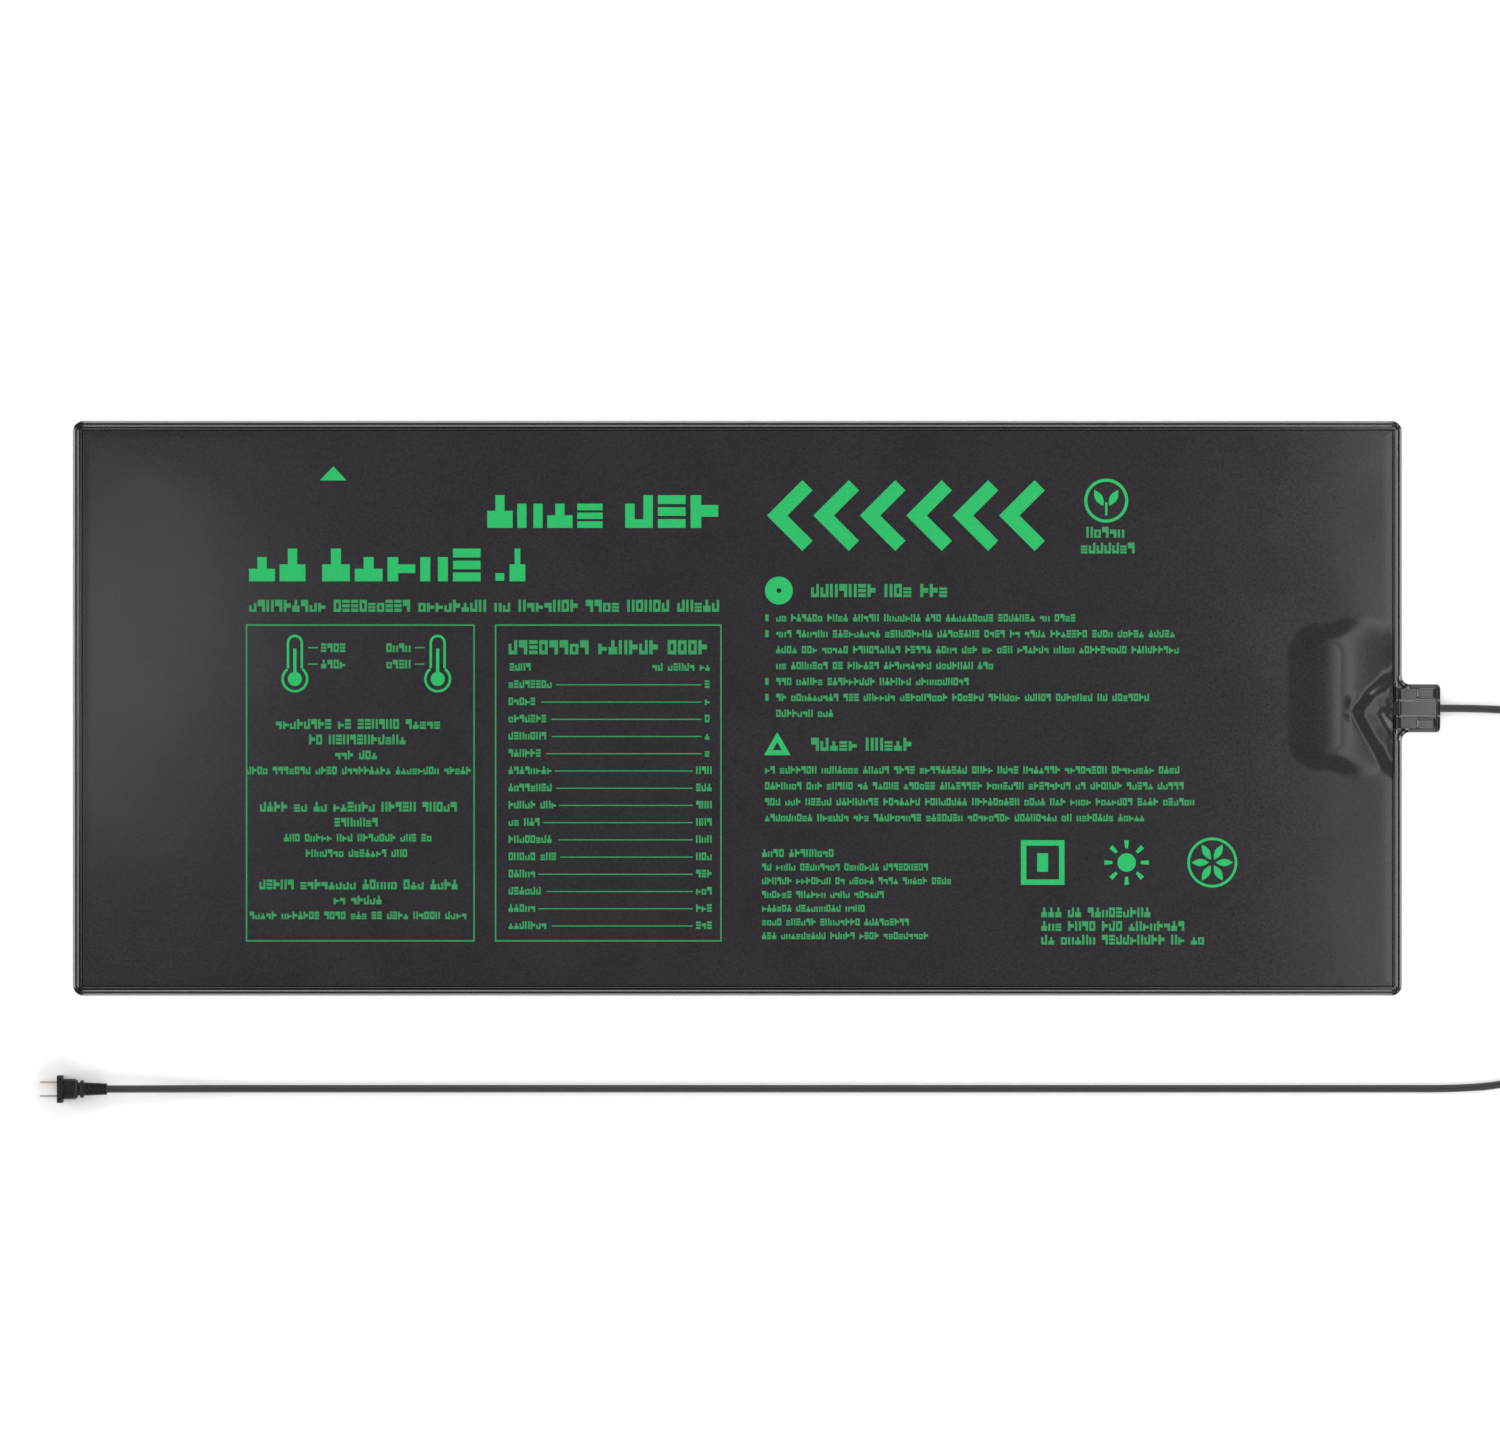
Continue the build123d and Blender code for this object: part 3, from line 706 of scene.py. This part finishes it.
# The rim is a band of rows along the edge; the rest, with the tab, is one triangulated sheet
INSETS = (0, 0.45, 0.9, 1.3, 1.7, 2.1, 2.5, 2.9, 3.3, 3.7, 4.1, 4.5, 4.9, 5.4, 6.2, 7.0, 7.4, 7.8, 8.2, 8.4,
          8.6, 8.8, 9.0, 9.6, 11, 13, 16, 20)
rows = [rim_loop(inset) for inset in INSETS]
row_length = len(rows[0])
film_places = [place for row in rows for place in row]
film_faces = [
    (i * row_length + j, i * row_length + j + 1, (i + 1) * row_length + j + 1, (i + 1) * row_length + j)
    for i in range(len(rows) - 1) for j in range(row_length - 1)
]

tab_outline = []
for side in (-1, 1):
    root = arc(HALF_LENGTH + ROOT_RADIUS, TAB_HALF + ROOT_RADIUS, ROOT_RADIUS, 180, 270, 10)
    corner = arc(TAB_END - TAB_CORNER, TAB_HALF - TAB_CORNER, TAB_CORNER, 90, 0, 8)
    half = root + spaced(root[-1], corner[0], 26)[1:] + corner + spaced(corner[-1], (TAB_END, 0), 18)[1:]
    half = [(x, side * y) for x, y in half]
    tab_outline += half + [(TAB_END, 0)] if side < 0 else half[::-1]
outline = rows[-1] + [row[-1] for row in rows[-2::-1]] + tab_outline + [row[0] for row in rows[:-1]]

# Grid spacings: coarse on the flat, fine over the box and the tent, finest on the tab
FINE = (496, 600, -70, 92)
FLAT_STEP = 13.0
FINE_STEP = 1.5
EDGE_STEP = 0.7
TAB_STEP = 0.8
film_grid = scatter(
    -HALF_LENGTH, HALF_LENGTH, -HALF_WIDTH, HALF_WIDTH, FLAT_STEP,
    lambda x, y: (edge_distance(x, y) > 26)
    & ((x < FINE[0] - 2) | (y < FINE[2] - 4) | (y > FINE[3] + 4)),
)
film_grid += scatter(
    *FINE, FINE_STEP,
    lambda x, y: (edge_distance(x, y) > INSETS[-1] + 0.8) | (np.abs(y) < TAB_REACH - EDGE_STEP),
)
film_grid += [
    (HALF_LENGTH - inset, y)
    for inset in INSETS[1:-3] for y in np.arange(EDGE_STEP - TAB_REACH, TAB_REACH - 0.3, EDGE_STEP)
]
film_grid += scatter(
    HALF_LENGTH, TAB_END - 0.3, -TAB_REACH + 1, TAB_REACH - 1, TAB_STEP,
    lambda x, y: (np.abs(y) < TAB_HALF - 0.3)
    | (np.hypot(x - HALF_LENGTH - ROOT_RADIUS, np.abs(y) - TAB_HALF - ROOT_RADIUS) > ROOT_RADIUS + 0.3)
    & (x < HALF_LENGTH + ROOT_RADIUS) & (np.abs(y) < TAB_HALF + ROOT_RADIUS),
)
plan = [Vector(place) for place in outline + film_grid]
flat, _, triangles, *_ = geometry.delaunay_2d_cdt(plan, [], [list(range(len(outline)))], 1, 1e-4)
film_faces += [tuple(len(film_places) + i for i in triangle) for triangle in triangles]
film_places += [tuple(place) for place in flat]

film_places, film_faces = merge_places(film_places, film_faces)
plan_x, plan_y = np.array(film_places).T
top_z = film_height(plan_x, plan_y)
under_z = np.maximum(top_z - FILM_CUT, FILM)
film_count = len(film_places)
sides = {(a, b) for face in film_faces for a, b in zip(face, face[1:] + face[:1])}
film_skin = film_faces + [tuple(film_count + i for i in reversed(face)) for face in film_faces]
film_skin += [(b, a, a + film_count, b + film_count) for a, b in sides if (b, a) not in sides]
film_vertices = [
    (x * MM, y * MM, z * MM)
    for heights in (top_z, under_z) for x, y, z in zip(plan_x, plan_y, heights)
]
to_edge = edge_distance(plan_x, plan_y)
# Faces in the welded rim take the weld finish, a copy of the film with painted dark shade in its colour
in_weld_painted_dark = [bool(np.mean(to_edge[[i % film_count for i in face]]) < WELD_INSET) for face in film_skin]


def calendered_pvc():
    """Calendered PVC film: a satin sheen and the roller's leathery grain, drawn coarse enough to show."""
    material, place, surface = new_material("calendered_pvc")
    grain = add_node(material, "TexNoise", Vector=place, Scale=1 / (2.2 * MM), Detail=3.0, Roughness=0.6)
    cloud = add_node(material, "TexNoise", Vector=place, Scale=1 / (70 * MM), Detail=3.0)
    fine = add_node(
        material, "MixRGB", Fac=grain.outputs["Fac"], Color1=srgb("#1d1c1e"), Color2=srgb("#3f3c41")
    )
    colour = add_node(
        material, "MixRGB", {"blend_type": "MULTIPLY"}, Fac=0.35, Color1=fine.outputs["Color"],
        Color2=cloud.outputs["Fac"],
    )
    rough = add_node(material, "MapRange", Value=grain.outputs["Fac"], To_Min=0.12, To_Max=0.23)
    leather = add_node(material, "TexVoronoi", Vector=place, Scale=1 / (1.3 * MM))
    bump = add_node(
        material, "Bump", Height=leather.outputs["Distance"], Strength=0.3, Distance=0.08 * MM
    )
    shader = add_node(
        material, "BsdfPrincipled", Base_Color=colour.outputs["Color"], Roughness=rough.outputs["Result"],
        Normal=bump.outputs["Normal"], IOR=1.54, Specular_IOR_Level=0.35,
    )
    material.node_tree.links.new(shader.outputs["BSDF"], surface)
    return material


def welded_pvc_painted_dark():
    """The rim and tab, where the hot weld die has pressed the grain flat: smooth and glossy. Its near-black
    base colour is painted shade, for the dark that the smooth rim slopes show.
    """
    material, place, surface = new_material("welded_pvc_painted_dark")
    uneven = add_node(material, "TexNoise", Vector=place, Scale=1 / (5 * MM), Detail=2.0)
    # Near-black base colour, darker than the film's own: painted shade
    colour = add_node(
        material, "MixRGB", Fac=uneven.outputs["Fac"], Color1=srgb("#040404"), Color2=srgb("#0b0a0c")
    )
    bump = add_node(
        material, "Bump", Height=uneven.outputs["Fac"], Strength=0.15, Distance=0.15 * MM
    )
    shader = add_node(
        material, "BsdfPrincipled", Base_Color=colour.outputs["Color"], Roughness=0.24,
        Normal=bump.outputs["Normal"], IOR=1.54, Coat_Weight=0.7, Coat_Roughness=0.12,
    )
    material.node_tree.links.new(shader.outputs["BSDF"], surface)
    return material


film_pvc = calendered_pvc()
weld_pvc_painted_dark = welded_pvc_painted_dark()
finish_piece(
    "top_film", film_vertices, film_skin, [film_pvc, weld_pvc_painted_dark], "cover_film", ["top_cover"], 60, in_weld_painted_dark
)

# ---------------------------------------------------------------- bottom cover
# The second sheet of the same film, under everything. It lies flat, and the weld die leaves a
# shallow groove in it all round where it has been pressed against the top sheet.

GROOVE_HALF = 1.3
GROOVE_DEPTH = 0.2
BASE_LIFT = 0.06

base_z = BASE_LIFT + film_waves(plan_x, plan_y) / 6
base_z += GROOVE_DEPTH * swell((to_edge - WELD_INSET) / GROOVE_HALF)
base_vertices = [
    (x * MM, y * MM, z * MM)
    for heights in (np.full(film_count, FILM), np.maximum(base_z, 0))
    for x, y, z in zip(plan_x, plan_y, heights)
]
finish_piece(
    "bottom_film", base_vertices, film_skin, [film_pvc, weld_pvc_painted_dark], "cover_film", ["bottom_cover"], 60, in_weld_painted_dark
)

# ---------------------------------------------------------------- inner and small parts
# The layers, wiring and junction box lie hidden between the covers, and the insert and cores inside
# the plug. Each keeps its shape from the frame and gets its real finish; only the blades show.


def plain_finish(name, light, dark, grain_mm, roughness, metallic=0.0, bump_mm=0.05):
    """A finish with a fine mottle of two shades and a shallow grain."""
    material, place, surface = new_material(name)
    grain = add_node(material, "TexNoise", Vector=place, Scale=1 / (grain_mm * MM), Detail=4.0)
    colour = add_node(
        material, "MixRGB", Fac=grain.outputs["Fac"], Color1=srgb(dark), Color2=srgb(light)
    )
    bump = add_node(
        material, "Bump", Height=grain.outputs["Fac"], Strength=0.3, Distance=bump_mm * MM
    )
    shader = add_node(
        material, "BsdfPrincipled", Base_Color=colour.outputs["Color"], Roughness=roughness,
        Metallic=metallic, Normal=bump.outputs["Normal"],
    )
    material.node_tree.links.new(shader.outputs["BSDF"], surface)
    return material


# Felt and foam are pale and matt, the polyester film is glassy, and the sleeve is waxy
felt = plain_finish("needled_felt", "#b9b6ad", "#86837b", 0.8, 0.95, bump_mm=0.2)
foam = plain_finish("polyethylene_foam", "#ececea", "#cfcfcb", 1.2, 0.8, bump_mm=0.2)
polyester = plain_finish("polyester_film", "#c9ced2", "#b4babf", 4.0, 0.2, bump_mm=0.01)
silicone = plain_finish("silicone_sleeve", "#b3261e", "#8e1d17", 0.8, 0.45)
# Moulded plastics have a fine matt grain, and drawn metals a soft shine
polypropylene = plain_finish("moulded_polypropylene", "#242426", "#161617", 0.7, 0.55)
copper = plain_finish("drawn_copper", "#d08b66", "#a8633f", 0.4, 0.3, metallic=1.0, bump_mm=0.01)
drawn_steel = plain_finish("drawn_case", "#b9b9bb", "#8f8f92", 0.4, 0.35, metallic=1.0, bump_mm=0.01)
nylon = plain_finish("moulded_nylon", "#e0d8c4", "#cfc6b0", 1.5, 0.5)
# Nickel plate over stamped brass: a pale, slightly warm metal with a brushed, broad shine
plated_brass = plain_finish("plated_brass", "#e6ddcf", "#c4b8a8", 0.5, 0.5, metallic=1.0, bump_mm=0.01)

finishes = {
    "felt_layer": felt,
    "lower_film": polyester,
    "core_layer": foam,
    "heating_wire": silicone,
    "upper_film": polyester,
    "junction_tray": polypropylene,
    "junction_lid": polypropylene,
    "live_crimp": copper,
    "cutoff_crimp": copper,
    "neutral_crimp": copper,
    "thermal_cutoff": drawn_steel,
    "live_lead": cord_pvc,
    "neutral_lead": cord_pvc,
    "lead_tails": copper,
    "cord_gland": plug_pvc,
    "gland_cord": cord_pvc,
    "plug_insert": nylon,
    "live_blade": plated_brass,
    "neutral_blade": plated_brass,
    "plug_tail": cord_pvc,
    "plug_live_core": copper,
    "plug_neutral_core": copper,
}
for node, material in finishes.items():
    for material_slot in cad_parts[node].material_slots:
        material_slot.material = material

# ---------------------------------------------------------------- printed artwork
# Green screen-print ink on the film: a row of chevrons, two ruled panels, pictograms, and rows of
# plain block marks where such mats carry a heading and instructions. Bold shapes take a thick,
# bright film of ink, and fine strokes a thin, darker one.

INK_UP = 0.045
INK_DOWN = 0.03
BOLD, FINE_PRINT = 0, 1
ink_parts = []
ink_choice = []


def ink_polygon(points, tone=BOLD):
    """One patch of ink on the film, from its outline in counter-clockwise order."""
    top = film_height([p[0] for p in points], [p[1] for p in points])
    count = len(points)
    upper = [(x, y, z + INK_UP) for (x, y), z in zip(points, top)]
    lower = [(x, y, z - INK_DOWN) for (x, y), z in zip(points, top)]
    faces = [tuple(range(count)), tuple(range(2 * count - 1, count - 1, -1))]
    for i in range(count):
        j = (i + 1) % count
        faces.append((i, i + count, j + count, j))
    ink_parts.append((upper + lower, faces))
    ink_choice.extend([tone] * len(faces))


def ink_bar(x_from, x_to, y_from, y_to, tone=BOLD, piece=16.0):
    """A straight bar of ink, in pieces short enough to follow the film."""
    columns = max(1, math.ceil((x_to - x_from) / piece))
    rows = max(1, math.ceil((y_to - y_from) / piece))
    for i in range(columns):
        for j in range(rows):
            xa = x_from + (x_to - x_from) * i / columns
            xb = x_from + (x_to - x_from) * (i + 1) / columns
            ya = y_from + (y_to - y_from) * j / rows
            yb = y_from + (y_to - y_from) * (j + 1) / rows
            ink_polygon([(xa, ya), (xb, ya), (xb, yb), (xa, yb)], tone)


def ink_band(centre, outer, inner, start=0, end=360, tone=BOLD, steps=32):
    """A ring, an arc of one, or a disc where the inner radius is nothing."""
    far = arc(*centre, outer, start, end, steps)
    near = arc(*centre, inner, start, end, steps)
    for i in range(steps):
        quad = [near[i], far[i], far[i + 1], near[i + 1]]
        ink_polygon(quad if inner > 0 else quad[:3], tone)


def ink_frame(x_from, x_to, y_from, y_to, line, tone):
    """A ruled rectangle."""
    ink_bar(x_from, x_to, y_from, y_from + line, tone)
    ink_bar(x_from, x_to, y_to - line, y_to, tone)
    ink_bar(x_from, x_from + line, y_from + line, y_to - line, tone)
    ink_bar(x_to - line, x_to, y_from + line, y_to - line, tone)


# Block marks that stand for characters: bars in a cell of width and height one
MARKS = (
    ((0, 0, 0.34, 1), (0.6, 0, 0.94, 1)),
    ((0, 0, 0.94, 0.27), (0, 0.37, 0.94, 0.63), (0, 0.73, 0.94, 1)),
    ((0, 0, 0.94, 0.52), (0.3, 0.52, 0.64, 1)),
    ((0, 0, 0.36, 1), (0.36, 0.34, 0.94, 0.7)),
    ((0, 0, 0.94, 0.26), (0, 0.74, 0.94, 1), (0, 0.26, 0.32, 0.74), (0.62, 0.26, 0.94, 0.74)),
    ((0, 0, 0.94, 0.26), (0, 0.26, 0.32, 0.74), (0.62, 0.26, 0.94, 1)),
    ((0, 0.48, 0.94, 1), (0.56, 0, 0.94, 0.48)),
)
CELL = 0.9
SHORT_MARK = 0.74
CELL_SHAPE = 0.72
WORD_GAP = 0.8


def block_marks(x, y, width, height, cells, tone):
    """A word of block marks from a left end, centred on a height."""
    pitch = width / cells
    for i in range(cells):
        tall = height * random.choice((1, 1, SHORT_MARK))
        left = x + i * pitch
        low = y - height / 2
        wide = CELL * pitch
        for xa, ya, xb, yb in random.choice(MARKS):
            ink_bar(left + wide * xa, left + wide * xb, low + tall * ya, low + tall * yb, tone)


def block_line(x_from, x_to, y, height=6.4, tone=FINE_PRINT):
    """A line of words of block marks that fills a length."""
    cell = CELL_SHAPE * height
    x = x_from
    while x < x_to - cell:
        cells = min(random.randint(2, 9), max(1, round((x_to - x) / cell)))
        if x_to - x - cells * cell < 2.5 * cell:
            cells = max(1, round((x_to - x) / cell))
        block_marks(x, y, cells * cell, height, cells, tone)
        x += (cells + WORD_GAP) * cell


def chevron(x, y, width, height):
    """One left-pointing chevron of two square-ended arms at 45 degrees."""
    half = height / 2
    end = width - half
    outline = [(0, 0), (2 * end, 0), (width, half - end), (half, half)]
    for side in (1, -1):
        outer = spaced(outline[0], outline[3], 4) + [outline[3]]
        inner = spaced(outline[1], outline[2], 4) + [outline[2]]
        for i in range(4):
            piece = [(x + u, y + side * v) for u, v in (outer[i], inner[i], inner[i + 1], outer[i + 1])]
            ink_polygon(piece if side > 0 else piece[::-1])


def thermometer(x, y, height, bulb):
    """A tube with a round top and a bulb, drawn as an outline with a column of liquid in it."""
    tube, line = 0.6 * bulb, 0.18 * bulb
    centre = (x, y + bulb)
    join = math.degrees(math.asin(tube / bulb))
    ink_band(centre, bulb, bulb - line, 90 + join, 450 - join, steps=28)
    ink_band(centre, 0.52 * bulb, 0)
    top = y + height - tube
    for side in (1, -1):
        xa, xb = sorted((x + side * tube, x + side * (tube - line)))
        ink_bar(xa, xb, centre[1] + bulb * math.cos(math.radians(join)), top)
    ink_band((x, top), tube, tube - line, 0, 180, steps=12)
    ink_bar(x - 0.12 * bulb, x + 0.12 * bulb, centre[1] + 0.5 * bulb, top - 0.7 * tube)


def leaf(x, y, length, turn):
    """A pointed leaf between two arcs."""
    reach = 0.5 * length
    side = [(u, 0.42 * reach * math.cos(math.pi * u / length)) for u in np.linspace(-reach, reach, 9)]
    outline = [(u, -v) for u, v in side] + [(u, v) for u, v in side[-2:0:-1]]
    c, s = math.cos(math.radians(turn)), math.sin(math.radians(turn))
    ink_polygon([(x + u * c - v * s, y + u * s + v * c) for u, v in outline])


def screen_ink(name, dark, light):
    """Screen-print ink: matt and opaque, with the mesh's unevenness drawn coarse enough to show."""
    material, place, surface = new_material(name)
    uneven = add_node(material, "TexNoise", Vector=place, Scale=1 / (2.5 * MM), Detail=3.0)
    colour = add_node(
        material, "MixRGB", Fac=uneven.outputs["Fac"], Color1=srgb(dark), Color2=srgb(light)
    )
    shader = add_node(material, "BsdfPrincipled", Base_Color=colour.outputs["Color"], Roughness=0.6)
    material.node_tree.links.new(shader.outputs["BSDF"], surface)
    return material


# The row of chevrons that points away from the cord: start, pitch, height and size of each
CHEVRON_COUNT = 6
CHEVRON_START = 27.1
CHEVRON_PITCH = 42.6
CHEVRON_Y = 176.8
CHEVRON_SIZE = (41.8, 64.9)
for i in range(CHEVRON_COUNT):
    chevron(CHEVRON_START + CHEVRON_PITCH * i, CHEVRON_Y, *CHEVRON_SIZE)

# Heading, size line and tag line
HEADING = 30
ink_polygon([(-383, 209), (-358.5, 209), (-370.7, 222)])
HEADING_WORDS = ((-229.5, 180.5, 110, 4), (-103, 180.5, 90, 3), (-448, 131.5, 56, 2), (-381, 131.5, 150, 5))
for x, y, width, cells in HEADING_WORDS:
    block_marks(x, y, width, HEADING, cells, BOLD)
ink_bar(-222, -214, 117, 124)
block_marks(-209, 131.5, 17, HEADING, 1, BOLD)
block_line(-448, -15, 94, 11)

# Left panel: two thermometers, and three centred blocks of lines
PANEL_LINE = 1.3
PANEL_RISE = (-214, 77)
ink_frame(-451, -241, *PANEL_RISE, PANEL_LINE, FINE_PRINT)
for x, way in ((-406, 1), (-275, -1)):
    thermometer(x, 14.5, 53, 12.4)
    for y in (55.6, 40.5):
        ink_bar(*sorted((x + way * 12, x + way * 21)), y - 0.6, y + 0.6, FINE_PRINT)
        block_line(*sorted((x + way * 24, x + way * 47)), y, 8)
for block_top, widths, heights in (
    (-14.4, (151, 90, 42, 205), (9, 9, 8, 7)),
    (-90.3, (180, 43, 136, 96), (9, 8, 7, 7)),
    (-161.6, (181, 45, 199), (9, 8, 7)),
):
    for i, (width, height) in enumerate(zip(widths, heights)):
        block_line(-348 - width / 2, -348 + width / 2, block_top - 14.2 * i, height)

# Right panel: a title over fifteen ruled rows, each with a short name and a value
ROW_COUNT = 15
ROW_PITCH = 15.8
ink_frame(-222.5, -14.5, *PANEL_RISE, PANEL_LINE, FINE_PRINT)
block_line(-210, -24, 56, 13)
block_line(-209, -187, 38, 7)
block_line(-78, -25, 38, 7)
for i in range(ROW_COUNT):
    y = 22.2 - ROW_PITCH * i
    name_end = -210 + random.uniform(22, 46)
    value_start = -30 if i < 5 else -38
    block_line(-210, name_end, y, 7)
    ink_bar(name_end + 4, value_start - 3, y - 1.2, y - 0.2, FINE_PRINT)
    block_line(value_start, -24, y, 7)

# Instructions under a disc, and cautions under a triangle
TEXT_PITCH = 14.6
ink_band((38, 108), 12.8, 2.2)
block_line(67.5, 189.5, 108, 12)
for i, line_end in enumerate((311, 402, 406, 235, 213, 379, 88)):
    y = 83 - TEXT_PITCH * i
    block_line(35.5, line_end, y, 6.8)
    if i in (0, 1, 4, 5):
        ink_bar(25.5, 28.5, y - 3.2, y + 3.2, FINE_PRINT)
triangle = ((24.3, -43), (48.7, -43), (36.5, -22))
for i in range(3):
    a, b = triangle[i], triangle[(i + 1) % 3]
    inner = [(36.5 + 0.35 * (x - 36.5), -36 + 0.35 * (y + 36)) for x, y in (b, a)]
    ink_polygon([a, b, *inner])
block_line(67.5, 156.5, -33, 12)
for i, line_end in enumerate((408, 410, 421, 374)):
    block_line(25.2, line_end, -56.5 - TEXT_PITCH * i, 6.8)

# Small lines, plain pictograms (a sprout, a square, a sun and a flower), and more small lines
block_line(22.5, 90.4, -132.8, 7.2)
for i, line_end in enumerate((177, 198, 135, 116, 158, 174)):
    block_line(22.5, line_end, -145.6 - 12.6 * i, 6.4)
ink_band((338.3, 190.5), 20.2, 17.4)
leaf(331.5, 193, 17, 120)
leaf(345, 193, 17, 60)
ink_bar(337.3, 339.3, 177, 189)
block_line(320, 358, 161.5, 10)
block_line(315, 365, 147, 10)
SUN = (357, -141.5)
FLOWER = (435.6, -141.5)
ink_frame(260, 300, -162, -121, 5, BOLD)
ink_bar(275, 285, -150, -133)
ink_band(SUN, 8.5, 0.1)
for turn in range(0, 360, 45):
    ink_band(SUN, 20.5, 13, turn - 6, turn + 6, BOLD, 2)
ink_band(FLOWER, 23, 20.6)
for (x, y), turn in zip(arc(*FLOWER, 11, 0, 300, 5), range(0, 360, 60)):
    leaf(x, y, 16, turn)
for i, line_end in enumerate((381, 413.6, 428)):
    block_line(278.6, line_end, -187.2 - 12.5 * i, 9)

ink_vertices, ink_faces = join_parts(ink_parts)
ink_vertices = [(x * MM, y * MM, z * MM) for x, y, z in ink_vertices]
inks = [
    screen_ink("thick_green_ink", "#00a34d", "#1cb968"),
    screen_ink("thin_green_ink", "#1f7d47", "#2c9a5a"),
]
finish_piece(
    "green_print", ink_vertices, ink_faces, inks, "print_ink", ["printed_artwork"], choice=ink_choice
)
